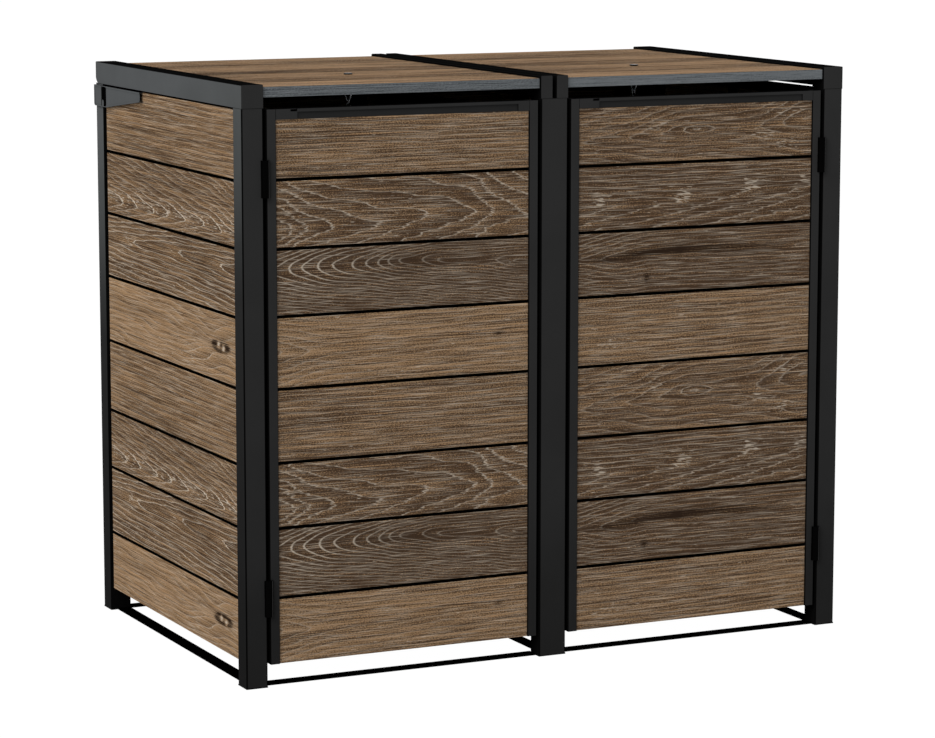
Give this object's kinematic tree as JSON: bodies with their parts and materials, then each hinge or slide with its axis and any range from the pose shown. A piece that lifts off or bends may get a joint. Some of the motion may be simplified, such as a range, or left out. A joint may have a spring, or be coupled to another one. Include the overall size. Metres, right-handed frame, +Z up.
{
  "type": "wheelie bin store",
  "caption": "Double store for wheelie bins: steel frame clad in boards, outward doors in front and lids that lift at the back on hinges.",
  "frame": {"origin": "middle of the store's footprint, on the ground", "axes": "+X to the right of a person who faces the doors, +Y from the doors to the back, +Z up"},
  "size_m": [1.349, 0.834, 1.18],
  "materials": {
    "black_paint": "satin powder coat",
    "black_gloss": "glossy",
    "boards": "grey-brown limed oak grain, matt",
    "edge_strips": "grey grained edging, matt",
    "zinc": "zinc plated",
    "black_plastic": "matt",
    "catches": "matt"
  },
  "bodies": {
    "frame": {"back_boards": "boards", "base_bars": "black_paint", "centre_beam": "black_paint", "cladding_screws": "zinc", "door_hinge_pins": "zinc", "door_hinge_post_halves": "black_gloss", "front_centre_post": "black_paint", "front_left_post": "black_paint", "front_right_post": "black_paint", "left_side_boards": "boards", "left_side_bracket": "black_paint", "lid_hinge_lugs": "black_paint", "lid_hinge_pins": "zinc", "magnetic_catches": "catches", "panel_battens": "black_paint", "panel_rails": "black_paint", "post_caps": "black_plastic", "post_feet": "black_plastic", "rear_centre_post": "black_paint", "rear_left_post": "black_paint", "rear_right_post": "black_paint", "right_side_boards": "boards", "right_side_bracket": "black_paint"},
    "left_door": {"left_door_battens": "black_paint", "left_door_boards": "boards", "left_door_foot_rail": "black_paint", "left_door_free_stile": "black_paint", "left_door_hinge_halves": "black_gloss", "left_door_hinge_stile": "black_paint", "left_door_screws": "zinc", "left_door_top_rail": "black_paint"},
    "left_lid": {"left_lid_cross_bars": "black_paint", "left_lid_deck_boards": "boards", "left_lid_edge_strip": "edge_strips", "left_lid_eye_bolt": "zinc", "left_lid_hinge_ears": "black_paint", "left_lid_inner_rail": "black_paint", "left_lid_ledges": "black_paint", "left_lid_outer_rail": "black_paint", "left_lid_screws": "zinc"},
    "left_chain": {"left_chain": "zinc"},
    "right_door": {"right_door_battens": "black_paint", "right_door_boards": "boards", "right_door_foot_rail": "black_paint", "right_door_free_stile": "black_paint", "right_door_hinge_halves": "black_gloss", "right_door_hinge_stile": "black_paint", "right_door_screws": "zinc", "right_door_top_rail": "black_paint"},
    "right_lid": {"right_lid_cross_bars": "black_paint", "right_lid_deck_boards": "boards", "right_lid_edge_strip": "edge_strips", "right_lid_eye_bolt": "zinc", "right_lid_hinge_ears": "black_paint", "right_lid_inner_rail": "black_paint", "right_lid_ledges": "black_paint", "right_lid_outer_rail": "black_paint", "right_lid_screws": "zinc"},
    "right_chain": {"right_chain": "zinc"}
  },
  "joints": [
    {"name": "left_door_swing", "type": "hinge", "parent": "frame", "child": "left_door", "pos_m": [-0.62175, -0.408, 0.588], "axis": [0, 0, -1], "range_deg": [0, 170]},
    {"name": "right_door_swing", "type": "hinge", "parent": "frame", "child": "right_door", "pos_m": [0.62175, -0.408, 0.588], "axis": [0, 0, 1], "range_deg": [0, 170]},
    {"name": "left_lid_lift", "type": "hinge", "parent": "frame", "child": "left_lid", "pos_m": [-0.3275, 0.401, 1.152], "axis": [-1, 0, 0], "range_deg": [0, 92]},
    {"name": "left_chain_hang", "type": "hinge", "parent": "left_lid", "child": "left_chain", "pos_m": [-0.3275, -0.133, 1.1238], "axis": [-1, 0, 0], "range_deg": [-92, 0]},
    {"name": "right_lid_lift", "type": "hinge", "parent": "frame", "child": "right_lid", "pos_m": [0.3275, 0.401, 1.152], "axis": [-1, 0, 0], "range_deg": [0, 92]},
    {"name": "right_chain_hang", "type": "hinge", "parent": "right_lid", "child": "right_chain", "pos_m": [0.3275, -0.133, 1.1238], "axis": [-1, 0, 0], "range_deg": [-92, 0]}
  ],
  "couplings": [
    {"joint": "left_chain_hang", "follows": "left_lid_lift", "ratio": -1},
    {"joint": "right_chain_hang", "follows": "right_lid_lift", "ratio": -1}
  ]
}
